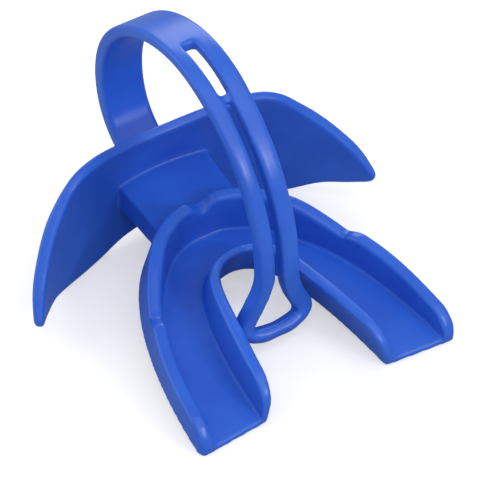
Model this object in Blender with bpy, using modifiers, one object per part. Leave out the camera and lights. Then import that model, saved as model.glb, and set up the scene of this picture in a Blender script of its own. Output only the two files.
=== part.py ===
"""Mouthguard with a lip guard, moulded in one piece of flexible blue plastic.

A horseshoe bite tray takes the upper teeth in its channel. A short bridge joins the
tray's front to a lip guard, a shield curved both ways that covers the lips. A strap
grows out of the shield's front, arches over it, and ends in an eye behind it. A short
slot and a long one are cut through the strap, for a loop round a face mask's bar.

The piece is modelled on the bite plane, the flat underside of the tray at z = 0, with
the lip guard towards -Y and the tray's arms open towards +Y. It is then tipped onto
its two arm ends and the lip guard's lower edge, as it comes to rest on a table.
Lengths are in metres.
"""
import math

import bmesh
import bpy
from mathutils import Matrix, Vector
from mathutils.geometry import interpolate_bezier

# Bite tray: the foot lines of its two walls, half of the arch in plan, as Bezier curves
ARM_END = 0.0252
OUTER_FOOT = ((0.0, -0.0318), (0.0183, -0.0318), (0.0290, -0.0090), (0.0312, ARM_END))
INNER_FOOT = ((0.0, -0.0139), (0.0061, -0.0139), (0.0122, -0.0078), (0.0147, ARM_END))
FLOOR_THICKNESS = 0.0015
CHANNEL_FILLET = 0.0008
FLAT_MARGIN = 0.0006
# Each wall's height as (place along the arch, height), places running from 0 in front to 1
# at the arm end. The outer wall dips beside the cheeks and rises again in a soft shoulder
OUTER_WALL = (
    (0.0, 0.0113), (0.44, 0.0110), (0.50, 0.0104), (0.61, 0.0083),
    (0.645, 0.0078), (0.67, 0.0088), (0.70, 0.0094), (1.0, 0.0066),
)
INNER_WALL = ((0.0, 0.0103), (0.1, 0.0095), (0.2, 0.0092), (0.5, 0.0094), (0.8, 0.0096), (1.0, 0.0094))
NOTCH_DEPTH = 0.0023
NOTCH_HALF_WIDTH = 0.0050
# Width of each wall's rim, and the share of it that each of its edges' rounding takes
OUTER_RIM = ((0.0, 0.0034), (0.5, 0.0034), (0.65, 0.0031), (1.0, 0.0030))
INNER_RIM = ((0.0, 0.0021), (0.2, 0.0021), (0.5, 0.0026), (0.8, 0.0029), (1.0, 0.0025))
RIM_ROUND = 0.3
# Sideways run of each wall for its rise, towards the middle of the arch
OUTER_LEAN = ((0.0, 0.33), (0.36, 0.22), (0.62, 0.13), (0.8, 0.0), (1.0, 0.0))
INNER_LEAN = ((0.0, 0.35), (0.2, 0.27), (0.45, 0.18), (0.75, 0.27), (1.0, 0.18))
# Thickness of each wall where it meets the channel floor
OUTER_BASE = ((0.0, 0.0070), (0.55, 0.0042), (1.0, 0.0029))
INNER_BASE = ((0.0, 0.0022), (0.55, 0.0019), (1.0, 0.0014))
OUTER_END_ROUND = 0.0052
INNER_END_ROUND = 0.0075
END_LIP = 0.0003
# Runs of sections along the arch, each from its place with its number of steps: notch,
# front, shoulder, rear and rounded end
SECTION_RUNS = ((0.0, 4), (0.08, 11), (0.61, 6), (0.71, 5), (0.92, 5))

# Lip guard: half of its outline in front view, as (x, z) points on a smooth curve
GUARD_OUTLINE = (
    (0.0, -0.0070), (0.0090, -0.0076), (0.0205, -0.0094), (0.0280, -0.0076), (0.0340, -0.0048),
    (0.0390, -0.0028), (0.0416, -0.0003), (0.0406, 0.0029), (0.0366, 0.0096), (0.0300, 0.0171),
    (0.0248, 0.0215), (0.0192, 0.0221), (0.0095, 0.0203), (0.0, 0.0197),
)
GUARD_FRONT = 0.0439
GUARD_PLAN_RADIUS = 0.0500
GUARD_SIDE_RADIUS = 0.0320
GUARD_SIDE_FADE = 0.0220
GUARD_LEVEL = 0.0053
# It is thinner behind the lips than in its wings, and the wings run out to thin tips
GUARD_THICKNESS = 0.0030
GUARD_MIDDLE_THICKNESS = 0.0024
GUARD_WINGS = (0.0250, 0.0320)
GUARD_TIP = (0.0382, 0.0418)
GUARD_TIP_THICKNESS = 0.0012
GUARD_EDGE_ROUND = 0.0006
GUARD_STEP = 0.0050

# Bridge between the lip guard and the tray
BRIDGE_WIDTH_FRONT = 0.0224
BRIDGE_WIDTH_REAR = 0.0208
BRIDGE_TOP = 0.0068
BRIDGE_BOTTOM = 0.0005
BRIDGE_EDGE_ROUND = 0.0004
BRIDGE_COLUMNS = 8

# Strap: its middle line in side view, as a chain of Bezier curves through (y, z) points
STRAP_LINE = (
    ((-0.0451, 0.0042), (-0.0545, 0.0051), (-0.0612, 0.0099), (-0.0616, 0.0211)),
    ((-0.0616, 0.0211), (-0.0622, 0.0379), (-0.0457, 0.0512), (-0.0310, 0.0527)),
    ((-0.0310, 0.0527), (-0.0146, 0.0544), (0.0031, 0.0387), (0.0037, 0.0181)),
    ((0.0037, 0.0181), (0.0039, 0.0101), (0.0009, 0.0024), (0.0063, 0.0001)),
)
STRAP_WIDTH = 0.01015
STRAP_END_WIDTH = 0.0094
NARROWING = (0.0830, 0.1120)
STRAP_THICKNESS = 0.0042
STRAP_TOP_THICKNESS = 0.0026
STRAP_RAIL_THICKNESS = 0.0037
THINNING = (0.0150, 0.0600)
THICKENING = (0.0880, 0.1150)
STRAP_EDGE_ROUND = 0.0007
BEND_STEP = 0.0028
# Places along the strap are counted back from its free end
LONG_SLOT = (0.0582, 0.0185)
LONG_SLOT_WIDTH = 0.0016
SLOT_CROSSBAR = 0.0026
SHORT_SLOT_LENGTH = 0.0140
SHORT_SLOT_WIDTHS = (0.0026, 0.0021)
EYE_NECK = 0.0215
# Half of the eye at the free end: (half width, place) points, outside and hole
EYE_OUTSIDE = ((0.0054, 0.0165), (0.0074, 0.0100), (0.0095, 0.0046), (0.0086, 0.0020), (0.0045, 0.0003))
EYE_HOLE = ((0.0019, 0.0133), (0.0034, 0.0090), (0.0053, 0.0046), (0.0051, 0.0038))
EYE_BAR = 0.0031

PLASTIC_COLOUR = (0.052, 0.127, 0.584, 1.0)
PLASTIC_ROUGHNESS = 0.42


def bezier(points, t):
    """The point at t = 0 to 1 along a cubic Bezier curve in two dimensions."""
    a, b, c, d = (Vector(point) for point in points)
    s = 1.0 - t
    return a * s**3 + b * 3 * s**2 * t + c * 3 * s * t**2 + d * t**3


def inward(points, t):
    """Unit vector in plan from a foot line towards the middle of the arch."""
    a, b, c, d = (Vector(point) for point in points)
    s = 1.0 - t
    along = (b - a) * s**2 + (c - b) * 2.0 * s * t + (d - c) * t**2
    return Vector((-along.y, along.x)).normalized()


def step_between(place, span):
    """Smooth change from 0 at the span's start to 1 at its end."""
    x = min(max((place - span[0]) / (span[1] - span[0]), 0.0), 1.0)
    return x * x * (3.0 - 2.0 * x)


def between_stations(stations, place):
    """Value at a place on a smooth curve through (place, value) stations."""
    for i in range(len(stations) - 1):
        if place <= stations[i + 1][0]:
            break
    (start, low), (end, high) = stations[i:i + 2]
    before = stations[max(i - 1, 0)]
    after = stations[min(i + 2, len(stations) - 1)]
    leaving = (high - before[1]) / (end - before[0])
    arriving = (after[1] - low) / (after[0] - start)
    share = (place - start) / (end - start)
    rest = 1.0 - share
    ease = share * share * (3.0 - 2.0 * share)
    curl = (end - start) * share * rest * (leaving * rest - arriving * share)
    return low + (high - low) * ease + curl


def rounded_end(height, y, radius):
    """A wall's height above the floor, rounded down towards the arm end."""
    past = min(max((y - (ARM_END - radius)) / radius, 0.0), 1.0)
    above = (height - FLOOR_THICKNESS) * math.sqrt(1.0 - past**2)
    return FLOOR_THICKNESS + max(above, END_LIP)


def wall_points(foot, direction, full, height, lean, rim, base):
    """One wall's half of a tray section, from its outside foot over the rim to the floor.

    direction points from the wall towards the channel. full is the wall's height and
    height what a notch or a rounded end leaves of it. lean is how far the wall leans
    towards the channel for its rise, rim its thickness at its full height and base that
    at the floor.
    """
    full_inside = lean * (full - RIM_ROUND * rim) + rim
    corner = max(base, full_inside + 0.0001)
    above_floor = height - FLOOR_THICKNESS
    outside = lean * max(height - RIM_ROUND * rim, height * 0.5)
    inside = corner + (full_inside - corner) * above_floor / (full - FLOOR_THICKNESS)
    edge_round = RIM_ROUND * (inside - outside)
    outer_round = min(edge_round, height * 0.5)
    inner_round = min(edge_round, above_floor * 0.5)
    fillet = min(CHANNEL_FILLET, above_floor * 0.4)

    def at(across, z):
        place = foot + direction * across
        return Vector((place.x, place.y, z))

    quarter = [0.5 * math.pi * step / 3.0 for step in range(4)]
    points = [at(0.0, 0.0)]
    for angle in quarter:
        across = outside + edge_round * (1.0 - math.cos(angle))
        points.append(at(across, height - outer_round * (1.0 - math.sin(angle))))
    for angle in reversed(quarter):
        across = inside - edge_round * (1.0 - math.cos(angle))
        points.append(at(across, height - inner_round * (1.0 - math.sin(angle))))
    for angle in quarter:
        across = corner + CHANNEL_FILLET * (1.0 - math.cos(angle))
        points.append(at(across, FLOOR_THICKNESS + fillet * (1.0 - math.sin(angle))))
    points.append(at(corner + CHANNEL_FILLET + FLAT_MARGIN, FLOOR_THICKNESS))
    return points


def tray_section(t):
    """Closed section of the tray at t = 0 (front centre) to 1 (arm end)."""
    outer_foot = bezier(OUTER_FOOT, t)
    inner_foot = bezier(INNER_FOOT, t)
    outer_full = between_stations(OUTER_WALL, t)
    inner_full = between_stations(INNER_WALL, t)
    notch = NOTCH_DEPTH * (1.0 - step_between(outer_foot.x, (0.0, NOTCH_HALF_WIDTH)))
    outer_height = rounded_end(outer_full - notch, outer_foot.y, OUTER_END_ROUND)
    inner_height = rounded_end(inner_full, inner_foot.y, INNER_END_ROUND)
    outer_shape = [between_stations(stations, t) for stations in (OUTER_LEAN, OUTER_RIM, OUTER_BASE)]
    inner_shape = [between_stations(stations, t) for stations in (INNER_LEAN, INNER_RIM, INNER_BASE)]
    inner_shape[0] *= -1.0
    outer = wall_points(outer_foot, inward(OUTER_FOOT, t), outer_full, outer_height, *outer_shape)
    inner = wall_points(inner_foot, -inward(INNER_FOOT, t), inner_full, inner_height, *inner_shape)
    return outer + inner[::-1]


def section_places():
    """Places of the tray's sections along the arch, closer together where its shape changes."""
    places = []
    for (start, count), (end, _) in zip(SECTION_RUNS, SECTION_RUNS[1:]):
        places += [start + (end - start) * i / count for i in range(count)]
    start, count = SECTION_RUNS[-1]
    return places + [start + (1.0 - start) * math.sin(0.5 * math.pi * i / count) for i in range(count + 1)]


def loft(rings, name):
    """Skin a row of closed rings with the same number of points, capped at both ends."""
    mesh = bpy.data.meshes.new(name)
    bm = bmesh.new()
    rows = [[bm.verts.new(point) for point in ring] for ring in rings]
    for row, following in zip(rows, rows[1:]):
        for i in range(len(row)):
            j = (i + 1) % len(row)
            bm.faces.new((row[i], row[j], following[j], following[i]))
    bm.faces.new(rows[0])
    bm.faces.new(rows[-1])
    bmesh.ops.recalc_face_normals(bm, faces=bm.faces)
    bm.to_mesh(mesh)
    bm.free()
    return bpy.data.objects.new(name, mesh)


def build_tray(parts):
    """Half of the horseshoe, lofted along the arch, and its mirror image."""
    rings = [tray_section(place) for place in section_places()]
    for point in rings[-1]:
        point.y = ARM_END
    tray = loft(rings, "tray")
    parts.objects.link(tray)
    bm = bmesh.new()
    bm.from_mesh(tray.data)
    middle = [face for face in bm.faces if all(abs(v.co.x) < 1e-7 for v in face.verts)]
    bmesh.ops.delete(bm, geom=middle, context="FACES_ONLY")
    bm.to_mesh(tray.data)
    bm.free()
    mirror = tray.modifiers.new("other_half", "MIRROR")
    mirror.merge_threshold = 0.00001
    return tray


def add_spline(curve, points):
    """A closed outline of (x, y, kind) points, kind being how the line runs through them."""
    spline = curve.splines.new("BEZIER")
    spline.bezier_points.add(len(points) - 1)
    for knot, (x, y, kind) in zip(spline.bezier_points, points):
        knot.co = (x, y, 0.0)
        knot.handle_left_type = kind
        knot.handle_right_type = kind
    spline.use_cyclic_u = True


def both_sides(points):
    """A closed outline from its +X half, listed upwards."""
    return points + [(-x, y, kind) for x, y, kind in reversed(points) if x > 0.0]


def cut_plate(parts, outline, holes, thickness, edge_round, resolution):
    """A flat plate with rounded edges in the XY plane, as a BMesh."""
    curve = bpy.data.curves.new("plate", "CURVE")
    curve.dimensions = "2D"
    curve.fill_mode = "BOTH"
    curve.resolution_u = resolution
    curve.extrude = thickness / 2.0 - edge_round
    curve.bevel_depth = edge_round
    curve.bevel_resolution = 1
    curve.offset = -edge_round
    add_spline(curve, both_sides(outline))
    for hole in holes:
        add_spline(curve, both_sides(hole)[::-1])
    plate = bpy.data.objects.new("plate", curve)
    parts.objects.link(plate)
    bpy.context.view_layer.update()
    mesh = bpy.data.meshes.new_from_object(plate.evaluated_get(bpy.context.evaluated_depsgraph_get()))
    bpy.data.objects.remove(plate)
    bm = bmesh.new()
    bm.from_mesh(mesh)
    bmesh.ops.remove_doubles(bm, verts=bm.verts, dist=0.00001)
    return bm


def slice_plate(bm, axis, step):
    """Cut a plate across one axis so that it can bend there."""
    places = [vert.co[axis] for vert in bm.verts]
    start, end = min(places), max(places)
    count = round((end - start) / step)
    normal = Vector((float(axis == 0), float(axis == 1), 0.0))
    for i in range(1, count):
        everything = bm.verts[:] + bm.edges[:] + bm.faces[:]
        level = start + (end - start) * i / count
        bmesh.ops.bisect_plane(bm, geom=everything, dist=0.00002, plane_co=normal * level, plane_no=normal)


def finish_piece(bm, parts, name):
    bmesh.ops.recalc_face_normals(bm, faces=bm.faces)
    mesh = bpy.data.meshes.new(name)
    bm.to_mesh(mesh)
    bm.free()
    piece = bpy.data.objects.new(name, mesh)
    parts.objects.link(piece)
    return piece


def guard_face(x, z):
    """The lip guard's inner face: curved round the lips in plan and hollow in side view."""
    in_plan = GUARD_PLAN_RADIUS - math.sqrt(GUARD_PLAN_RADIUS**2 - x**2)
    in_side = (z - GUARD_LEVEL) ** 2 / (2.0 * GUARD_SIDE_RADIUS)
    return Vector((x, -GUARD_FRONT + in_plan + in_side / (1.0 + (x / GUARD_SIDE_FADE) ** 2), z))


def guard_outward(x, z):
    """Unit vector square to the inner face, away from the tray."""
    step = 0.0002
    across = guard_face(x + step, z) - guard_face(x - step, z)
    upwards = guard_face(x, z + step) - guard_face(x, z - step)
    return across.cross(upwards).normalized()


def guard_thickness(x):
    """The lip guard's thickness at a distance x from the middle."""
    middle = GUARD_MIDDLE_THICKNESS
    wing = middle + (GUARD_THICKNESS - middle) * step_between(abs(x), GUARD_WINGS)
    past = min(max((abs(x) - GUARD_TIP[0]) / (GUARD_TIP[1] - GUARD_TIP[0]), 0.0), 1.0)
    return GUARD_TIP_THICKNESS + (wing - GUARD_TIP_THICKNESS) * math.sqrt(1.0 - past**2)


def build_guard(parts):
    """The shield, cut out flat and curved both ways."""
    outline = [(x, z, "AUTO") for x, z in GUARD_OUTLINE]
    bm = cut_plate(parts, outline, [], GUARD_THICKNESS, GUARD_EDGE_ROUND, 3)
    slice_plate(bm, 0, GUARD_STEP)
    slice_plate(bm, 1, GUARD_STEP)
    for vert in bm.verts:
        x, z, depth = vert.co
        from_face = (0.5 + depth / GUARD_THICKNESS) * guard_thickness(x)
        vert.co = guard_face(x, z) + guard_outward(x, z) * from_face
    return finish_piece(bm, parts, "lip_guard")


def foot_line_y(x):
    """Where the tray's outer foot line lies at a distance x from the middle."""
    low, high = 0.0, 1.0
    for _ in range(30):
        middle = (low + high) / 2.0
        if bezier(OUTER_FOOT, middle).x < x:
            low = middle
        else:
            high = middle
    return bezier(OUTER_FOOT, low).y


def build_bridge(parts):
    """Block from inside the lip guard's wall to inside the tray's front wall."""
    rings = []
    for i in range(BRIDGE_COLUMNS + 1):
        side = 2.0 * i / BRIDGE_COLUMNS - 1.0
        front_x = side * BRIDGE_WIDTH_FRONT / 2.0
        rear_x = side * BRIDGE_WIDTH_REAR / 2.0
        front_y = guard_face(front_x, GUARD_LEVEL).y - GUARD_MIDDLE_THICKNESS * 0.6
        ring = [Vector((front_x, front_y, z)) for z in (BRIDGE_BOTTOM, BRIDGE_TOP)]
        for z in (BRIDGE_TOP, BRIDGE_BOTTOM):
            rear_y = foot_line_y(abs(rear_x)) + OUTER_LEAN[0][1] * z + OUTER_RIM[0][1] * 0.4
            ring.append(Vector((rear_x, rear_y, z)))
        rings.append(ring)
    bridge = loft(rings, "bridge")
    parts.objects.link(bridge)
    edge = bridge.modifiers.new("rounded_edge", "BEVEL")
    edge.width = BRIDGE_EDGE_ROUND
    edge.segments = 2
    edge.limit_method = "ANGLE"
    edge.angle_limit = math.radians(50)
    return bridge


def strap_route():
    """The strap's middle line as (distance along, point, outward direction) stations."""
    points = []
    for knots in STRAP_LINE:
        run = interpolate_bezier(*(Vector((0.0, *knot)) for knot in knots), 60)
        points += run[1:] if points else run
    route = []
    distance = 0.0
    for i, point in enumerate(points):
        along = (points[min(i + 1, len(points) - 1)] - points[max(i - 1, 0)]).normalized()
        distance += (point - points[max(i - 1, 0)]).length
        route.append((distance, point, Vector((0.0, -along.z, along.y))))
    return route


def on_route(route, distance):
    """Point and outward direction of the strap's middle line at a distance along it."""
    for (start, before, out_before), (end, after, out_after) in zip(route, route[1:]):
        if distance <= end:
            break
    share = (distance - start) / (end - start)
    return before.lerp(after, share), out_before.lerp(out_after, share).normalized()


def thickness_share(distance):
    """The strap's thickness at a distance along it, as a share of that at its root."""
    thickness = STRAP_THICKNESS + (STRAP_TOP_THICKNESS - STRAP_THICKNESS) * step_between(distance, THINNING)
    thickness += (STRAP_RAIL_THICKNESS - STRAP_TOP_THICKNESS) * step_between(distance, THICKENING)
    return thickness / STRAP_THICKNESS


def slot_end(half_width, place, into):
    """Two points that round off one end of a slot, from place in the direction into."""
    return [(half_width * 0.5, place, "VECTOR"), (half_width, place + into * half_width, "VECTOR")]


def build_strap(parts):
    """The strap cut out flat, with its slots and eye, then bent along its middle line."""
    route = strap_route()
    length = route[-1][0]
    half_width = STRAP_WIDTH / 2.0
    long_half = LONG_SLOT_WIDTH / 2.0
    outline = [(half_width, 0.0, "VECTOR"), (half_width, length - EYE_NECK, "AUTO")]
    outline += [(x, length - place, "AUTO") for x, place in EYE_OUTSIDE]
    outline += [(0.0, length, "AUTO")]
    short_slot_end = length - LONG_SLOT[0] - SLOT_CROSSBAR
    short_slot = slot_end(SHORT_SLOT_WIDTHS[0] / 2.0, short_slot_end - SHORT_SLOT_LENGTH, 1.0)
    short_slot += slot_end(SHORT_SLOT_WIDTHS[1] / 2.0, short_slot_end, -1.0)[::-1]
    long_slot = slot_end(long_half, length - LONG_SLOT[0], 1.0)
    long_slot += [(long_half, length - LONG_SLOT[1], "VECTOR")]
    long_slot += [(x, length - place, "VECTOR") for x, place in EYE_HOLE]
    long_slot += [(0.0, length - EYE_BAR, "AUTO")]
    bm = cut_plate(parts, outline, [short_slot, long_slot], STRAP_THICKNESS, STRAP_EDGE_ROUND, 5)
    slice_plate(bm, 1, BEND_STEP)
    for vert in bm.verts:
        place, outward = on_route(route, vert.co.y)
        lift = vert.co.z * thickness_share(vert.co.y)
        narrower = 1.0 + (STRAP_END_WIDTH / STRAP_WIDTH - 1.0) * step_between(vert.co.y, NARROWING)
        vert.co = place + outward * lift + Vector((vert.co.x * narrower, 0.0, 0.0))
    return finish_piece(bm, parts, "strap")


def join_pieces(body, pieces):
    """Unite the pieces with the body as one moulding."""
    for piece in pieces:
        union = body.modifiers.new("with_" + piece.name, "BOOLEAN")
        union.operation = "UNION"
        union.solver = "EXACT"
        union.object = piece
    bpy.context.view_layer.update()
    evaluated = body.evaluated_get(bpy.context.evaluated_depsgraph_get())
    mesh = bpy.data.meshes.new_from_object(evaluated)
    mesh.name = "mouthguard"
    for piece in (body, *pieces):
        bpy.data.objects.remove(piece)
    return mesh


def lay_on_table(mesh):
    """Tip the moulding onto its arm ends and the lip guard's lower edge, centred on the origin."""
    heel = Vector((0.0, ARM_END, 0.0))
    tilt = max(math.atan2(-v.co.z, heel.y - v.co.y) for v in mesh.vertices if v.co.z < 0.0)
    mesh.transform(Matrix.Rotation(-tilt, 4, "X") @ Matrix.Translation(-heel))
    lows = [min(v.co[i] for v in mesh.vertices) for i in range(3)]
    highs = [max(v.co[i] for v in mesh.vertices) for i in range(3)]
    middle = [(low + high) / 2.0 for low, high in zip(lows, highs)]
    mesh.transform(Matrix.Translation((-middle[0], -middle[1], -lows[2])))


def plastic():
    material = bpy.data.materials.new("blue_plastic")
    material.use_nodes = True
    shader = material.node_tree.nodes["Principled BSDF"]
    shader.inputs["Base Color"].default_value = PLASTIC_COLOUR
    shader.inputs["Roughness"].default_value = PLASTIC_ROUGHNESS
    shader.inputs["Metallic"].default_value = 0.0
    return material


def main():
    for item in list(bpy.data.objects):
        bpy.data.objects.remove(item)
    collection = bpy.data.collections.new("mouthguard_with_lip_guard")
    bpy.context.scene.collection.children.link(collection)
    tray = build_tray(collection)
    pieces = [build_bridge(collection), build_guard(collection), build_strap(collection)]
    mesh = join_pieces(tray, pieces)
    lay_on_table(mesh)
    mesh.materials.clear()
    mesh.materials.append(plastic())
    mesh.shade_smooth()
    mesh.set_sharp_from_angle(angle=math.radians(35))
    collection.objects.link(bpy.data.objects.new("mouthguard", mesh))


main()
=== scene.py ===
"""Looks of a mouthguard with a lip guard, moulded in one piece of satin blue plastic.

The moulding is drawn finely from its four forms, the bite tray, the bridge, the lip
guard and the slotted strap, which are fused and smoothed as a mould leaves them.
Lengths are in metres. The forms are made on the bite plane and then laid on the table.
"""

import math

import bpy
from mathutils import Euler, Matrix, Vector
from mathutils.geometry import interpolate_bezier


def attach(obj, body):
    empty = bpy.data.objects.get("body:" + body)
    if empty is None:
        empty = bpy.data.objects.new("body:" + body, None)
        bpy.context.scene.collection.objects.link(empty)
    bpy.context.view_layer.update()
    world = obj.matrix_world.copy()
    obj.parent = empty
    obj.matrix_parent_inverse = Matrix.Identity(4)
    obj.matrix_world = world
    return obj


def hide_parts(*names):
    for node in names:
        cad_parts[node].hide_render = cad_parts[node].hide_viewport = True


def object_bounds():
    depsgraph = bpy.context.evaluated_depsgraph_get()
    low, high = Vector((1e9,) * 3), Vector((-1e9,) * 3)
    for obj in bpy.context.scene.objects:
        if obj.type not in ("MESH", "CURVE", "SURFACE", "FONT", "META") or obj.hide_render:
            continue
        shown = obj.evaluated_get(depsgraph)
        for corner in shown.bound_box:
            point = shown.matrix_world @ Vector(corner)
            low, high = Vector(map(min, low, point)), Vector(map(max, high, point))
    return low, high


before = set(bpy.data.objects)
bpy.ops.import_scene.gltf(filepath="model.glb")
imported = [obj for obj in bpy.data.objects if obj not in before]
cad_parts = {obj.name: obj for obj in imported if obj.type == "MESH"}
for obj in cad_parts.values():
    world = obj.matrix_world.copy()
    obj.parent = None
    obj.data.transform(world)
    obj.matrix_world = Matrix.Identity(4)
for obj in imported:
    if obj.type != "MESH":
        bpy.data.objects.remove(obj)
cad_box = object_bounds()

# Distances below which points count as one, in the tray's fine sections and elsewhere
FINE_MERGE = 0.000001
MERGE = 0.00001
# Rounding of a piece's edges: its steps, and the angle in degrees that makes an edge steep
EDGE_STEPS = 4
STEEP_ANGLE = 50.0

# Bite tray: the foot lines of its two walls, half of the arch in plan, as Bezier curves
ARM_END = 0.0255
OUTER_FOOT = ((0.0, -0.0318), (0.0183, -0.0318), (0.0290, -0.0090), (0.0315, ARM_END))
INNER_FOOT = ((0.0, -0.0139), (0.0061, -0.0139), (0.0121, -0.0078), (0.0146, ARM_END))
FLOOR_THICKNESS = 0.0015
CHANNEL_FILLET = 0.0004
FLAT_MARGIN = 0.0006
# How much a wall's foot stands out past its rim at least, and the shares of a low wall's
# height that its rim's rounding and its fillet may take
BASE_MARGIN = 0.0001
LOW_RIM_SHARE = 0.5
LOW_FILLET_SHARE = 0.4
# Each wall's height as (place along the arch, height), places running from 0 in front to 1
# at the arm end. The outer wall dips beside the cheeks and rises again in a soft shoulder
OUTER_WALL = (
    (0.0, 0.0113), (0.44, 0.0110), (0.50, 0.0104), (0.61, 0.0083),
    (0.645, 0.0078), (0.67, 0.0088), (0.70, 0.0094), (1.0, 0.0066),
)
INNER_WALL = ((0.0, 0.0103), (0.1, 0.0095), (0.2, 0.0092), (0.5, 0.0094), (0.8, 0.0096), (1.0, 0.0094))
NOTCH_DEPTH = 0.0023
NOTCH_HALF_WIDTH = 0.0050
# Width of each wall's rim, and the share of it that each of its edges' rounding takes
OUTER_RIM = ((0.0, 0.0034), (0.5, 0.0034), (0.65, 0.0031), (1.0, 0.0030))
INNER_RIM = ((0.0, 0.0021), (0.2, 0.0021), (0.5, 0.0026), (0.8, 0.0029), (1.0, 0.0025))
RIM_ROUND = 0.3
# Sideways run of each wall for its rise, towards the middle of the arch
OUTER_LEAN = ((0.0, 0.33), (0.36, 0.22), (0.62, 0.13), (0.8, 0.0), (1.0, 0.0))
INNER_LEAN = ((0.0, 0.35), (0.2, 0.27), (0.45, 0.18), (0.75, 0.27), (1.0, 0.18))
# Thickness of each wall where it meets the channel floor
OUTER_BASE = ((0.0, 0.0070), (0.55, 0.0042), (1.0, 0.0029))
INNER_BASE = ((0.0, 0.0022), (0.55, 0.0019), (1.0, 0.0014))
OUTER_END_ROUND = 0.0052
INNER_END_ROUND = 0.0075
END_LIP = 0.0003
TRAY_EDGE_ROUND = 0.0006
ARM_CORNER = 0.0013
ARM_END_SLANT = 0.0006
# Shares of an arm's half width between which its end is drawn in
ARM_SIDE = (0.5, 1.0)
# Runs of sections along the arch, each from its place with its number of steps: notch,
# front, shoulder, rear and rounded end
SECTION_RUNS = ((0.0, 16), (0.08, 44), (0.61, 26), (0.71, 20), (0.92, 18))
ARC_STEPS = 5

# Plates: steps between the points of an outline and round its edges
OUTLINE_STEPS = 12
PLATE_EDGE_STEPS = 3

# Lip guard: half of its outline in front view, as (x, z) points on a smooth curve
GUARD_OUTLINE = (
    (0.0, -0.0070), (0.0090, -0.0076), (0.0205, -0.0094), (0.0280, -0.0080), (0.0340, -0.0052),
    (0.0390, -0.0031), (0.0416, -0.0005), (0.0407, 0.0029), (0.0366, 0.0096), (0.0300, 0.0171),
    (0.0248, 0.0215), (0.0192, 0.0221), (0.0095, 0.0203), (0.0, 0.0197),
)
GUARD_FRONT = 0.0439
GUARD_PLAN_RADIUS = 0.0500
GUARD_SIDE_RADIUS = 0.0320
GUARD_SIDE_FADE = 0.0220
GUARD_LEVEL = 0.0053
# It is thinner behind the lips than in its wings, and the wings run out to thin tips
GUARD_THICKNESS = 0.0030
GUARD_MIDDLE_THICKNESS = 0.0024
GUARD_WINGS = (0.0250, 0.0320)
GUARD_TIP = (0.0374, 0.0420)
GUARD_TIP_THICKNESS = 0.0010
GUARD_EDGE_ROUND = 0.0008
GUARD_STEP = 0.0012
GUARD_TOP_SHIFT = 0.0005
GUARD_TOP = (0.0080, 0.0180)

# Bridge between the lip guard and the tray
BRIDGE_WIDTH_FRONT = 0.0224
BRIDGE_WIDTH_REAR = 0.0208
BRIDGE_TOP = 0.0068
BRIDGE_CUTS = 12
BRIDGE_EDGE_ROUND = 0.0005
# Shares of the lip guard's thickness and of the tray's rim that its ends reach into
BRIDGE_INTO_GUARD = 0.6
BRIDGE_INTO_TRAY = 0.4
FOOT_LINE_HALVINGS = 30

# Strap: its middle line in side view, as a chain of Bezier curves through (y, z) points
STRAP_LINE = (
    ((-0.0451, 0.0042), (-0.0545, 0.0051), (-0.0612, 0.0099), (-0.0616, 0.0211)),
    ((-0.0616, 0.0211), (-0.0622, 0.0379), (-0.0457, 0.0512), (-0.0310, 0.0527)),
    ((-0.0310, 0.0527), (-0.0146, 0.0544), (0.0031, 0.0387), (0.0037, 0.0181)),
    ((0.0037, 0.0181), (0.0039, 0.0101), (0.0009, 0.0024), (0.0063, 0.0001)),
)
STRAP_LINE_POINTS = 60
STRAP_WIDTH = 0.0105
STRAP_END_WIDTH = 0.0097
NARROWING = (0.0830, 0.1120)
STRAP_THICKNESS = 0.0042
STRAP_TOP_THICKNESS = 0.0026
STRAP_RAIL_THICKNESS = 0.0037
THINNING = (0.0150, 0.0600)
THICKENING = (0.0880, 0.1150)
STRAP_EDGE_ROUND = 0.0009
BEND_STEP = 0.0008
# Places along the strap are counted back from its free end
LONG_SLOT = (0.0589, 0.0185)
LONG_SLOT_WIDTH = 0.0016
SLOT_CROSSBAR = 0.0019
CROSSBAR_RECESS = 0.0007
# The box that sinks the cross bar, as shares of the bar's length and of the recess's depth:
# half of the box stands above the strap, and the strap is thinned after the cut
RECESS_LENGTH_SHARE = 1.3
RECESS_CUT_SHARE = 3.2
SHORT_SLOT_LENGTH = 0.0143
SHORT_SLOT_WIDTHS = (0.0029, 0.0024)
SLOT_SHIFT = 0.0003
# A slot's nearly square end, as shares of its half width: the flat of it, and how far along
# the slot its eased corner reaches
SLOT_END_FLAT = 0.7
SLOT_END_EASE = 0.4
EYE_NECK = 0.0215
# Half of the eye at the free end: (half width, place) points, outside and hole
EYE_OUTSIDE = ((0.0055, 0.0165), (0.0076, 0.0100), (0.0097, 0.0048), (0.0086, 0.0021), (0.0046, 0.0002))
EYE_HOLE = ((0.0019, 0.0133), (0.0034, 0.0090), (0.0057, 0.0044), (0.0056, 0.0036))
EYE_BAR = 0.0030

# Colours of the plastic and the table, and the room's light, with what the plastic mirrors of them
WHITE = (1.0, 1.0, 1.0, 1.0)
DEEP_BLUE = (0.022, 0.105, 0.59, 1.0)
LIGHT_BLUE = (0.029, 0.133, 0.66, 1.0)
SPECK_BLUE = (0.050, 0.160, 0.72, 1.0)
TABLE_WHITE = (0.60, 0.60, 0.60, 1.0)
TABLE_WHITE_WARM = (0.60, 0.595, 0.585, 1.0)
TABLE_MIRRORED = (0.26, 0.30, 0.38, 1.0)
TABLE_GLOW = 0.5
ROOM_LIGHT = 0.50
ROOM_MIRRORED = 0.24

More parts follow.
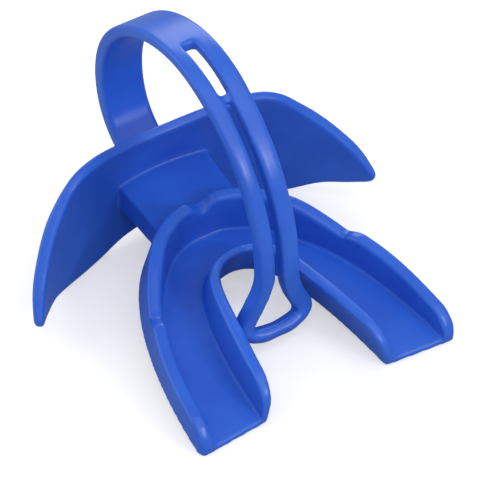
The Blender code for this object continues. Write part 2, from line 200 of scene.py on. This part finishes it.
# Patterns of the plastic and the table, as (features to the metre, detail)
CLOUDS = (55.0, 3.0)
FLOW = (260.0, 4.0)
SPECKS = (1900.0, 2.0)
GRAIN = (2600.0, 3.0)
PEEL = (420.0, 2.0)
TABLE_CLOUDS = (9.0, 2.0)
PATTERN_ROUGHNESS = 0.5
CLOUD_RANGE = (0.3, 0.7)
SPECK_RANGE = (0.66, 0.74)
FLOW_STRETCH = (1.0, 0.35, 0.35)
SPECK_SHARE = 0.35
GRAIN_SHARE = 0.35
BUMP_STRENGTH = 0.35
BUMP_DEPTH = 0.00012
# Roughness of the plastic at its least, and what the flow and the clouds add to it
SATIN_ROUGHNESS = 0.268
FLOW_ROUGHNESS = 0.04
CLOUD_ROUGHNESS = 0.015
SATIN_SHINE = 0.4
TABLE_ROUGHNESS = 0.7
TABLE_SHINE = 0.2

# Fusing: grain of the fused skin, how much its corners soften (the strap's flat top least,
# the rails and the arm ends most) and the share of its faces that is kept
SKIN_GRAIN = 0.00032
SMOOTH_FACTOR = 0.5
SOFTENING_PASSES = 2
FURTHER_PASSES = 18
BODY_SOFTNESS = 0.1
END_SOFTNESS = 0.8
RAIL_MARGIN = 0.0020
STRAP_TOP = (0.0220, 0.0280)
RAIL_REACH = (-0.0200, -0.0110)
END_REACH = (0.0232, 0.0252)
SKIN_SHARE = 0.44
# The lip guard's lower edge, which touches the table, lies in front of this
GUARD_REACH = -0.0200

# Table, and the camera at the photograph's angle, its turn in degrees
TABLE_SIZE = 6.0
CAMERA_PLACE = (0.236494, 0.441556, 0.442685)
CAMERA_TURN = (49.25494, 3.23533, 148.55267)
CAMERA_LENS = 230.97
CAMERA_SENSOR = 36.0
CAMERA_CLIP = 0.01
# Soft lamps, as (name, place, size, power)
LAMPS = (
    ("key_light", (-0.02, 0.52, 0.78), 1.2, 5.0),
    ("window_light", (-0.26, 0.80, 0.46), 0.12, 1.4),
    ("back_light", (-0.50, -0.70, 0.46), 0.5, 2.4),
    ("left_light", (0.68, -0.54, 0.42), 1.0, 3.4),
)


def bezier(points, t):
    a, b, c, d = (Vector(point) for point in points)
    s = 1.0 - t
    return a * s**3 + b * 3 * s**2 * t + c * 3 * s * t**2 + d * t**3


def inward(points, t):
    """Unit vector in plan from a foot line towards the middle of the arch."""
    a, b, c, d = (Vector(point) for point in points)
    s = 1.0 - t
    along = (b - a) * s**2 + (c - b) * 2.0 * s * t + (d - c) * t**2
    return Vector((-along.y, along.x)).normalized()


def step_between(place, span):
    """Smooth change from 0 at the span's start to 1 at its end."""
    x = min(max((place - span[0]) / (span[1] - span[0]), 0.0), 1.0)
    return x * x * (3.0 - 2.0 * x)


def add_piece(name):
    """Name the object that an operator has just added."""
    piece = bpy.context.object
    piece.name = name
    piece.data.name = name
    return piece


def reshape(piece, rule):
    """Move every point of a piece to where the rule puts it."""
    for vertex in piece.data.vertices:
        vertex.co = rule(vertex.co.copy())


def apply_modifier(piece, kind, **settings):
    bpy.context.view_layer.objects.active = piece
    bpy.ops.object.modifier_add(type=kind)
    modifier = piece.modifiers[-1]
    for setting, value in settings.items():
        setattr(modifier, setting, value)
    bpy.ops.object.modifier_apply(modifier=modifier.name)


def round_edges(piece, radius):
    """Round the edges where a piece's faces meet at a steep angle."""
    steep = math.radians(STEEP_ANGLE)
    apply_modifier(piece, "BEVEL", width=radius, segments=EDGE_STEPS, limit_method="ANGLE", angle_limit=steep)


def deselect_all():
    bpy.ops.object.select_all(action="DESELECT")


# Bite tray


def between_stations(stations, place):
    """Value at a place on a smooth curve through (place, value) stations."""
    for i in range(len(stations) - 1):
        if place <= stations[i + 1][0]:
            break
    (start, low), (end, high) = stations[i:i + 2]
    before = stations[max(i - 1, 0)]
    after = stations[min(i + 2, len(stations) - 1)]
    leaving = (high - before[1]) / (end - before[0])
    arriving = (after[1] - low) / (after[0] - start)
    share = (place - start) / (end - start)
    rest = 1.0 - share
    ease = share * share * (3.0 - 2.0 * share)
    curl = (end - start) * share * rest * (leaving * rest - arriving * share)
    return low + (high - low) * ease + curl


def rounded_end(height, y, radius):
    """A wall's height above the floor, rounded down towards the arm end."""
    past = min(max((y - (ARM_END - radius)) / radius, 0.0), 1.0)
    above = (height - FLOOR_THICKNESS) * math.sqrt(1.0 - past**2)
    return FLOOR_THICKNESS + max(above, END_LIP)


def wall_points(foot, direction, full, height, lean, rim, base):
    """One wall's half of a tray section, from its outside foot over the rim to the floor.

    direction points from the wall towards the channel. full is the wall's height and
    height what a notch or a rounded end leaves of it. lean is how far the wall leans
    towards the channel for its rise, rim its thickness at its full height and base that
    at the floor.
    """
    full_inside = lean * (full - RIM_ROUND * rim) + rim
    corner = max(base, full_inside + BASE_MARGIN)
    above_floor = height - FLOOR_THICKNESS
    outside = lean * max(height - RIM_ROUND * rim, height * LOW_RIM_SHARE)
    inside = corner + (full_inside - corner) * above_floor / (full - FLOOR_THICKNESS)
    edge_round = RIM_ROUND * (inside - outside)
    outer_round = min(edge_round, height * LOW_RIM_SHARE)
    inner_round = min(edge_round, above_floor * LOW_RIM_SHARE)
    fillet = min(CHANNEL_FILLET, above_floor * LOW_FILLET_SHARE)

    def at(across, z):
        place = foot + direction * across
        return Vector((place.x, place.y, z))

    quarter = [0.5 * math.pi * step / ARC_STEPS for step in range(ARC_STEPS + 1)]
    points = [at(0.0, 0.0)]
    for angle in quarter:
        across = outside + edge_round * (1.0 - math.cos(angle))
        points.append(at(across, height - outer_round * (1.0 - math.sin(angle))))
    for angle in reversed(quarter):
        across = inside - edge_round * (1.0 - math.cos(angle))
        points.append(at(across, height - inner_round * (1.0 - math.sin(angle))))
    for angle in quarter:
        across = corner + CHANNEL_FILLET * (1.0 - math.cos(angle))
        points.append(at(across, FLOOR_THICKNESS + fillet * (1.0 - math.sin(angle))))
    points.append(at(corner + CHANNEL_FILLET + FLAT_MARGIN, FLOOR_THICKNESS))
    return points


def tray_section(t):
    """Closed section of the tray at t = 0 (front centre) to 1 (arm end)."""
    outer_foot = bezier(OUTER_FOOT, t)
    inner_foot = bezier(INNER_FOOT, t)
    outer_full = between_stations(OUTER_WALL, t)
    inner_full = between_stations(INNER_WALL, t)
    notch = NOTCH_DEPTH * (1.0 - step_between(outer_foot.x, (0.0, NOTCH_HALF_WIDTH)))
    outer_height = rounded_end(outer_full - notch, outer_foot.y, OUTER_END_ROUND)
    inner_height = rounded_end(inner_full, inner_foot.y, INNER_END_ROUND)
    outer_shape = [between_stations(stations, t) for stations in (OUTER_LEAN, OUTER_RIM, OUTER_BASE)]
    inner_shape = [between_stations(stations, t) for stations in (INNER_LEAN, INNER_RIM, INNER_BASE)]
    inner_shape[0] *= -1.0
    outer = wall_points(outer_foot, inward(OUTER_FOOT, t), outer_full, outer_height, *outer_shape)
    inner = wall_points(inner_foot, -inward(INNER_FOOT, t), inner_full, inner_height, *inner_shape)
    return outer + inner[::-1]


def section_places():
    """Places of the tray's sections along the arch, closer together where its shape changes."""
    places = []
    for (start, count), (end, _) in zip(SECTION_RUNS, SECTION_RUNS[1:]):
        places += [start + (end - start) * i / count for i in range(count)]
    start, count = SECTION_RUNS[-1]
    return places + [start + (1.0 - start) * math.sin(0.5 * math.pi * i / count) for i in range(count + 1)]


def round_arm_corners(place):
    """Slant an arm's end a little and draw it in at its two upright corners."""
    middle = (OUTER_FOOT[3][0] + INNER_FOOT[3][0]) / 2.0
    half = (OUTER_FOOT[3][0] - INNER_FOOT[3][0]) / 2.0
    past = min(max(place.y - ARM_END + ARM_CORNER, 0.0), ARM_CORNER)
    inwards = ARM_CORNER - math.sqrt(ARM_CORNER**2 - past**2)
    near_side = step_between(abs(place.x - middle) / half, ARM_SIDE)
    place.y += ARM_END_SLANT * (past / ARM_CORNER) * (place.x - middle) / half
    place.x -= math.copysign(inwards * near_side, place.x - middle)
    return place


def model_tray():
    """A grid wrapped round the tray's sections, its seam merged, its arm end filled and mirrored."""
    sections = [tray_section(place) for place in section_places()]
    for point in sections[-1]:
        point.y = ARM_END
    along = len(sections) - 1
    around = len(sections[0])
    bpy.ops.mesh.primitive_grid_add(x_subdivisions=along, y_subdivisions=around, size=1.0)
    tray = add_piece("bite_tray")

    def wrap(place):
        section = sections[round((place.x + 0.5) * along)]
        return section[round((place.y + 0.5) * around) % around]

    reshape(tray, wrap)
    reshape(tray, round_arm_corners)
    bpy.ops.object.mode_set(mode="EDIT")
    bpy.ops.mesh.select_all(action="SELECT")
    bpy.ops.mesh.remove_doubles(threshold=FINE_MERGE)
    bpy.ops.mesh.select_all(action="DESELECT")
    bpy.ops.mesh.select_non_manifold()
    bpy.ops.object.mode_set(mode="OBJECT")
    for edge in tray.data.edges:
        if all(tray.data.vertices[i].co.x < FINE_MERGE for i in edge.vertices):
            edge.select = False
    for vertex in tray.data.vertices:
        if vertex.co.x < FINE_MERGE:
            vertex.select = False
    bpy.ops.object.mode_set(mode="EDIT")
    bpy.ops.mesh.edge_face_add()
    bpy.ops.mesh.select_all(action="SELECT")
    bpy.ops.mesh.normals_make_consistent(inside=False)
    bpy.ops.object.mode_set(mode="OBJECT")
    apply_modifier(tray, "MIRROR", merge_threshold=MERGE)
    round_edges(tray, TRAY_EDGE_ROUND)
    return tray


# Plates cut out flat and bent


def add_spline(curve, points):
    """A closed outline of (x, y, kind) points, kind being how the line runs through them."""
    spline = curve.splines.new("BEZIER")
    spline.bezier_points.add(len(points) - 1)
    for knot, (x, y, kind) in zip(spline.bezier_points, points):
        knot.co = (x, y, 0.0)
        knot.handle_left_type = kind
        knot.handle_right_type = kind
    spline.use_cyclic_u = True


def both_sides(points):
    """A closed outline from its +X half, listed upwards."""
    return points + [(-x, y, kind) for x, y, kind in reversed(points) if x > 0.0]


def cut_plate(name, outline, holes, shift, thickness, edge_round):
    """A flat plate with rounded edges and shifted holes, drawn as a filled curve and made a mesh."""
    bpy.ops.curve.primitive_bezier_circle_add()
    plate = add_piece(name)
    curve = plate.data
    curve.splines.clear()
    curve.dimensions = "2D"
    curve.fill_mode = "BOTH"
    curve.resolution_u = OUTLINE_STEPS
    curve.extrude = thickness / 2.0 - edge_round
    curve.bevel_depth = edge_round
    curve.bevel_resolution = PLATE_EDGE_STEPS
    curve.offset = -edge_round
    add_spline(curve, both_sides(outline))
    for hole in holes:
        add_spline(curve, [(x + shift, y, kind) for x, y, kind in both_sides(hole)[::-1]])
    bpy.ops.object.convert(target="MESH")
    bpy.ops.object.mode_set(mode="EDIT")
    bpy.ops.mesh.select_all(action="SELECT")
    bpy.ops.mesh.remove_doubles(threshold=MERGE)
    bpy.ops.object.mode_set(mode="OBJECT")
    return plate


def slice_plate(plate, axis, step):
    """Cut a plate across one axis so that it can bend there."""
    places = [vertex.co[axis] for vertex in plate.data.vertices]
    start, end = min(places), max(places)
    count = round((end - start) / step)
    normal = Vector((float(axis == 0), float(axis == 1), 0.0))
    bpy.ops.object.mode_set(mode="EDIT")
    for i in range(1, count):
        bpy.ops.mesh.select_all(action="SELECT")
        level = normal * (start + (end - start) * i / count)
        bpy.ops.mesh.bisect(plane_co=level, plane_no=normal, threshold=MERGE)
    bpy.ops.object.mode_set(mode="OBJECT")


def turn_faces_out(piece):
    bpy.ops.object.mode_set(mode="EDIT")
    bpy.ops.mesh.select_all(action="SELECT")
    bpy.ops.mesh.normals_make_consistent(inside=False)
    bpy.ops.object.mode_set(mode="OBJECT")


# Lip guard


def guard_face(x, z):
    """The lip guard's inner face: curved round the lips in plan and hollow in side view."""
    in_plan = GUARD_PLAN_RADIUS - math.sqrt(GUARD_PLAN_RADIUS**2 - x**2)
    in_side = (z - GUARD_LEVEL) ** 2 / (2.0 * GUARD_SIDE_RADIUS)
    return Vector((x, -GUARD_FRONT + in_plan + in_side / (1.0 + (x / GUARD_SIDE_FADE) ** 2), z))


def guard_outward(x, z):
    step = 0.0002
    across = guard_face(x + step, z) - guard_face(x - step, z)
    upwards = guard_face(x, z + step) - guard_face(x, z - step)
    return across.cross(upwards).normalized()


def guard_thickness(x):
    """The lip guard's thickness at a distance x from the middle."""
    middle = GUARD_MIDDLE_THICKNESS
    wing = middle + (GUARD_THICKNESS - middle) * step_between(abs(x), GUARD_WINGS)
    past = min(max((abs(x) - GUARD_TIP[0]) / (GUARD_TIP[1] - GUARD_TIP[0]), 0.0), 1.0)
    return GUARD_TIP_THICKNESS + (wing - GUARD_TIP_THICKNESS) * math.sqrt(1.0 - past**2)


def model_guard():
    outline = [(x, z, "AUTO") for x, z in GUARD_OUTLINE]
    guard = cut_plate("lip_guard", outline, [], 0.0, GUARD_THICKNESS, GUARD_EDGE_ROUND)
    slice_plate(guard, 0, GUARD_STEP)
    slice_plate(guard, 1, GUARD_STEP)

    def bend(place):
        from_face = (0.5 + place.z / GUARD_THICKNESS) * guard_thickness(place.x)
        place.x += GUARD_TOP_SHIFT * step_between(place.y, GUARD_TOP)
        return guard_face(place.x, place.y) + guard_outward(place.x, place.y) * from_face

    reshape(guard, bend)
    turn_faces_out(guard)
    return guard


# Bridge


def foot_line_y(x):
    """Where the tray's outer foot line lies at a distance x from the middle."""
    low, high = 0.0, 1.0
    for _ in range(FOOT_LINE_HALVINGS):
        middle = (low + high) / 2.0
        if bezier(OUTER_FOOT, middle).x < x:
            low = middle
        else:
            high = middle
    return bezier(OUTER_FOOT, low).y


def model_bridge():
    """A block whose ends follow the lip guard and the tray's front wall."""
    bpy.ops.mesh.primitive_cube_add(size=1.0)
    bridge = add_piece("bridge")
    bpy.ops.object.mode_set(mode="EDIT")
    bpy.ops.mesh.select_all(action="SELECT")
    bpy.ops.mesh.subdivide(number_cuts=BRIDGE_CUTS)
    bpy.ops.object.mode_set(mode="OBJECT")

    def fit(place):
        side = 2.0 * place.x
        back = place.y + 0.5
        z = BRIDGE_TOP * (place.z + 0.5)
        front_x = side * BRIDGE_WIDTH_FRONT / 2.0
        rear_x = side * BRIDGE_WIDTH_REAR / 2.0
        front_y = guard_face(front_x, GUARD_LEVEL).y - GUARD_MIDDLE_THICKNESS * BRIDGE_INTO_GUARD
        front = Vector((front_x, front_y, z))
        rear_y = foot_line_y(abs(rear_x)) + OUTER_LEAN[0][1] * z + OUTER_RIM[0][1] * BRIDGE_INTO_TRAY
        rear = Vector((rear_x, rear_y, z))
        return front.lerp(rear, back)

    reshape(bridge, fit)
    round_edges(bridge, BRIDGE_EDGE_ROUND)
    return bridge


# Strap


def strap_route():
    """The strap's middle line as (distance along, point, outward direction) stations."""
    points = []
    for knots in STRAP_LINE:
        run = interpolate_bezier(*(Vector((0.0, *knot)) for knot in knots), STRAP_LINE_POINTS)
        points += run[1:] if points else run
    route = []
    distance = 0.0
    for i, point in enumerate(points):
        along = (points[min(i + 1, len(points) - 1)] - points[max(i - 1, 0)]).normalized()
        distance += (point - points[max(i - 1, 0)]).length
        route.append((distance, point, Vector((0.0, -along.z, along.y))))
    return route


def on_route(route, distance):
    """Point and outward direction of the strap's middle line at a distance along it."""
    for (start, before, out_before), (end, after, out_after) in zip(route, route[1:]):
        if distance <= end:
            break
    share = (distance - start) / (end - start)
    return before.lerp(after, share), out_before.lerp(out_after, share).normalized()


def thickness_share(distance):
    """The strap's thickness at a distance along it, as a share of that at its root."""
    thickness = STRAP_THICKNESS + (STRAP_TOP_THICKNESS - STRAP_THICKNESS) * step_between(distance, THINNING)
    thickness += (STRAP_RAIL_THICKNESS - STRAP_TOP_THICKNESS) * step_between(distance, THICKENING)
    return thickness / STRAP_THICKNESS


def slot_end(half_width, place, into):
    """Two points that ease the corner of a slot's nearly square end, from place in the direction into."""
    flat = (half_width * SLOT_END_FLAT, place, "VECTOR")
    side = (half_width, place + into * half_width * SLOT_END_EASE, "VECTOR")
    return [flat, side]


def sink_box(plate, place, size):
    """Take a box out of a plate's face."""
    bpy.ops.mesh.primitive_cube_add(size=1.0, location=place)
    box = add_piece("recess")
    box.scale = size
    apply_modifier(plate, "BOOLEAN", operation="DIFFERENCE", solver="EXACT", object=box)
    bpy.data.objects.remove(box)


def model_strap():
    """The strap cut out flat, with its slots and eye, then bent along its middle line."""
    route = strap_route()
    length = route[-1][0]
    half_width = STRAP_WIDTH / 2.0
    long_half = LONG_SLOT_WIDTH / 2.0
    outline = [(half_width, 0.0, "VECTOR"), (half_width, length - EYE_NECK, "AUTO")]
    outline += [(x, length - place, "AUTO") for x, place in EYE_OUTSIDE]
    outline += [(0.0, length, "AUTO")]
    short_slot_end = length - LONG_SLOT[0] - SLOT_CROSSBAR
    short_slot = slot_end(SHORT_SLOT_WIDTHS[0] / 2.0, short_slot_end - SHORT_SLOT_LENGTH, 1.0)
    short_slot += slot_end(SHORT_SLOT_WIDTHS[1] / 2.0, short_slot_end, -1.0)[::-1]
    long_slot = slot_end(long_half, length - LONG_SLOT[0], 1.0)
    long_slot += [(long_half, length - LONG_SLOT[1], "VECTOR")]
    long_slot += [(x, length - place, "VECTOR") for x, place in EYE_HOLE]
    long_slot += [(0.0, length - EYE_BAR, "AUTO")]
    holes = [short_slot, long_slot]
    strap = cut_plate("strap", outline, holes, SLOT_SHIFT, STRAP_THICKNESS, STRAP_EDGE_ROUND)
    crossbar = (SLOT_SHIFT, short_slot_end + SLOT_CROSSBAR / 2.0, STRAP_THICKNESS / 2.0)
    recess = (SHORT_SLOT_WIDTHS[1], SLOT_CROSSBAR * RECESS_LENGTH_SHARE, CROSSBAR_RECESS * RECESS_CUT_SHARE)
    sink_box(strap, crossbar, recess)
    slice_plate(strap, 1, BEND_STEP)

    def bend(place):
        middle, outward = on_route(route, place.y)
        narrower = 1.0 + (STRAP_END_WIDTH / STRAP_WIDTH - 1.0) * step_between(place.y, NARROWING)
        lift = outward * place.z * thickness_share(place.y)
        return middle + lift + Vector((place.x * narrower, 0.0, 0.0))

    reshape(strap, bend)
    turn_faces_out(strap)
    return strap


# Finishes


class Socket:
    """A number on a node's output; arithmetic on it adds Math nodes."""

    def __init__(self, finish, output):
        self.finish = finish
        self.output = output

    def math(self, operation, first, second):
        return self.finish.node("ShaderNodeMath", {"operation": operation}, {0: first, 1: second})

    def __add__(self, other):
        return self.math("ADD", self, other)

    def __radd__(self, other):
        return self.math("ADD", other, self)

    def __mul__(self, other):
        return self.math("MULTIPLY", self, other)

    def __rmul__(self, other):
        return self.math("MULTIPLY", other, self)


class Finish:
    """A node tree that makes each of its nodes through one method."""

    def __init__(self, owner):
        owner.use_nodes = True
        self.tree = owner.node_tree
        self.owner = owner

    def node(self, kind, settings, inputs, output=0):
        made = self.tree.nodes.new(kind)
        for setting, value in settings.items():
            setattr(made, setting, value)
        for socket, value in inputs.items():
            self.feed(made.inputs[socket], value)
        return Socket(self, made.outputs[output])

    def feed(self, socket, value):
        if isinstance(value, Socket):
            self.tree.links.new(value.output, socket)
        else:
            socket.default_value = value

    def noise(self, place, scale, detail):
        """Even noise about 0.5, finer where its scale, in features to the metre, is higher."""
        inputs = {"Vector": place, "Scale": scale, "Detail": detail, "Roughness": PATTERN_ROUGHNESS}
        return self.node("ShaderNodeTexNoise", {}, inputs)

    def mix_colours(self, share, first, second):
        return self.node("ShaderNodeMix", {"data_type": "RGBA"}, {0: share, 6: first, 7: second}, 2)

    def ramp(self, value, low, high):
        """0 below the low value, 1 above the high one, smooth between them."""
        limits = {"Value": value, "From Min": low, "From Max": high, "To Min": 0.0, "To Max": 1.0}
        return self.node("ShaderNodeMapRange", {"interpolation_type": "SMOOTHSTEP"}, limits)

    def shader(self, values):
        principled = self.tree.nodes["Principled BSDF"]
        for socket, value in values.items():
            self.feed(principled.inputs[socket], value)
        return self.owner


def satin_blue_plastic():
    """Blue elastic plastic, clouded a little in its colour, with a fine moulded grain."""
    finish = Finish(bpy.data.materials.new("satin_blue_plastic"))
    place = finish.node("ShaderNodeTexCoord", {}, {}, "Object")
    clouds = finish.ramp(finish.noise(place, *CLOUDS), *CLOUD_RANGE)
    stretched = finish.node("ShaderNodeMapping", {}, {"Vector": place, "Scale": FLOW_STRETCH})
    flow = finish.noise(stretched, *FLOW)
    specks = finish.ramp(finish.noise(place, *SPECKS), *SPECK_RANGE)
    grain = finish.noise(place, *GRAIN)
    peel = finish.noise(place, *PEEL)
    colour = finish.mix_colours(clouds, DEEP_BLUE, LIGHT_BLUE)
    colour = finish.mix_colours(specks * SPECK_SHARE, colour, SPECK_BLUE)
    bump = finish.node("ShaderNodeBump", {}, {
        "Strength": BUMP_STRENGTH,
        "Distance": BUMP_DEPTH,
        "Height": grain * GRAIN_SHARE + peel,
    })
    return finish.shader({
        "Base Color": colour,
        "Roughness": SATIN_ROUGHNESS + flow * FLOW_ROUGHNESS + clouds * CLOUD_ROUGHNESS,
        "Specular IOR Level": SATIN_SHINE,
        "Normal": bump,
    })


def white_table():
    """A white table top, full white to the camera outside its shadows, dimmer and bluer when mirrored."""
    finish = Finish(bpy.data.materials.new("white_table"))
    place = finish.node("ShaderNodeTexCoord", {}, {}, "Object")
    clouds = finish.ramp(finish.noise(place, *TABLE_CLOUDS), *CLOUD_RANGE)
    seen = finish.node("ShaderNodeLightPath", {}, {}, "Is Camera Ray")
    mirrored = finish.node("ShaderNodeLightPath", {}, {}, "Is Glossy Ray")
    white = finish.mix_colours(clouds, TABLE_WHITE, TABLE_WHITE_WARM)
    return finish.shader({
        "Base Color": finish.mix_colours(mirrored, white, TABLE_MIRRORED),
        "Roughness": TABLE_ROUGHNESS,
        "Specular IOR Level": TABLE_SHINE,
        "Emission Color": WHITE,
        "Emission Strength": seen * TABLE_GLOW,
    })


def white_room():
    """A white room, full white to the camera, half as bright as a light and dimmer still when mirrored."""
    finish = Finish(bpy.data.worlds.new("white_room"))
    seen = finish.node("ShaderNodeLightPath", {}, {}, "Is Camera Ray")
    mirrored = finish.node("ShaderNodeLightPath", {}, {}, "Is Glossy Ray")
    background = finish.tree.nodes["Background"]
    finish.feed(background.inputs["Color"], WHITE)
    strength = ROOM_LIGHT + mirrored * (ROOM_MIRRORED - ROOM_LIGHT) + seen * (1.0 - ROOM_LIGHT)
    finish.feed(background.inputs["Strength"], strength)
    return finish.owner


def add_lamp(name, place, size, power):
    """A square soft lamp at a place, turned towards the object."""
    bpy.ops.object.light_add(type="AREA", location=place)
    lamp = add_piece(name)
    lamp.data.energy = power
    lamp.data.size = size
    lamp.rotation_euler = Vector(place).to_track_quat("Z", "Y").to_euler()


# The moulding


def softness(place):
    """How much the corners soften at a place, from 0 to 1."""
    rails = abs(place.x) < INNER_FOOT[2][0] - RAIL_MARGIN
    if rails and place.y > RAIL_REACH[0]:
        return BODY_SOFTNESS + (1.0 - BODY_SOFTNESS) * step_between(place.y, RAIL_REACH)
    if place.z > STRAP_TOP[0]:
        return BODY_SOFTNESS * (1.0 - step_between(place.z, STRAP_TOP))
    return BODY_SOFTNESS + (END_SOFTNESS - BODY_SOFTNESS) * step_between(place.y, END_REACH)


def fuse(pieces):
    """One skin round all the forms, softened in its corners as a mould leaves it."""
    deselect_all()
    for piece in pieces:
        piece.select_set(True)
    bpy.context.view_layer.objects.active = pieces[0]
    bpy.ops.object.join()
    moulding = add_piece("blue_moulding")
    apply_modifier(moulding, "REMESH", mode="VOXEL", voxel_size=SKIN_GRAIN, adaptivity=0.0)
    apply_modifier(moulding, "SMOOTH", factor=SMOOTH_FACTOR, iterations=SOFTENING_PASSES)
    soft = moulding.vertex_groups.new(name="soft_corners")
    for vertex in moulding.data.vertices:
        soft.add([vertex.index], softness(vertex.co), "REPLACE")
    passes = {"factor": SMOOTH_FACTOR, "iterations": FURTHER_PASSES}
    apply_modifier(moulding, "SMOOTH", vertex_group="soft_corners", **passes)
    moulding.vertex_groups.clear()
    apply_modifier(moulding, "DECIMATE", ratio=SKIN_SHARE)
    return moulding


def lay_on_table(moulding):
    """Tip the moulding onto its arm ends and the lip guard's lower edge, its front where the box has it."""
    heel = Vector((0.0, ARM_END, 0.0))
    low = [v.co for v in moulding.data.vertices if v.co.z < 0.0]
    tilt = max(math.atan2(-co.z, heel.y - co.y) for co in low if co.y < GUARD_REACH)
    moulding.matrix_world = Matrix.Rotation(-tilt, 4, "X") @ Matrix.Translation(-heel)
    deselect_all()
    moulding.select_set(True)
    bpy.context.view_layer.objects.active = moulding
    bpy.ops.object.transform_apply()
    lows = [min(v.co[i] for v in moulding.data.vertices) for i in range(3)]
    highs = [max(v.co[i] for v in moulding.data.vertices) for i in range(3)]
    moulding.location = (-(lows[0] + highs[0]) / 2.0, cad_box[0][1] - lows[1], -lows[2])
    bpy.ops.object.transform_apply()


deselect_all()
moulding = fuse([model_tray(), model_bridge(), model_guard(), model_strap()])
lay_on_table(moulding)
moulding.data.materials.clear()
moulding.data.materials.append(satin_blue_plastic())
bpy.ops.object.shade_smooth()
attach(moulding, "root")
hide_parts("mouthguard")

# Table and backdrop
bpy.ops.mesh.primitive_plane_add(size=TABLE_SIZE, location=(0.0, 0.0, 0.0))
table = add_piece("table")
table.data.materials.append(white_table())

# Camera at the photograph's angle
camera_data = bpy.data.cameras.new("camera")
camera_data.sensor_width = CAMERA_SENSOR
camera_data.lens = CAMERA_LENS
camera_data.clip_start = CAMERA_CLIP
camera = bpy.data.objects.new("camera", camera_data)
camera.location = CAMERA_PLACE
camera.rotation_euler = Euler([math.radians(angle) for angle in CAMERA_TURN])
bpy.context.scene.collection.objects.link(camera)
bpy.context.scene.camera = camera

# Light
bpy.context.scene.world = white_room()
for lamp in LAMPS:
    add_lamp(*lamp)

bpy.context.scene.view_settings.view_transform = "Standard"
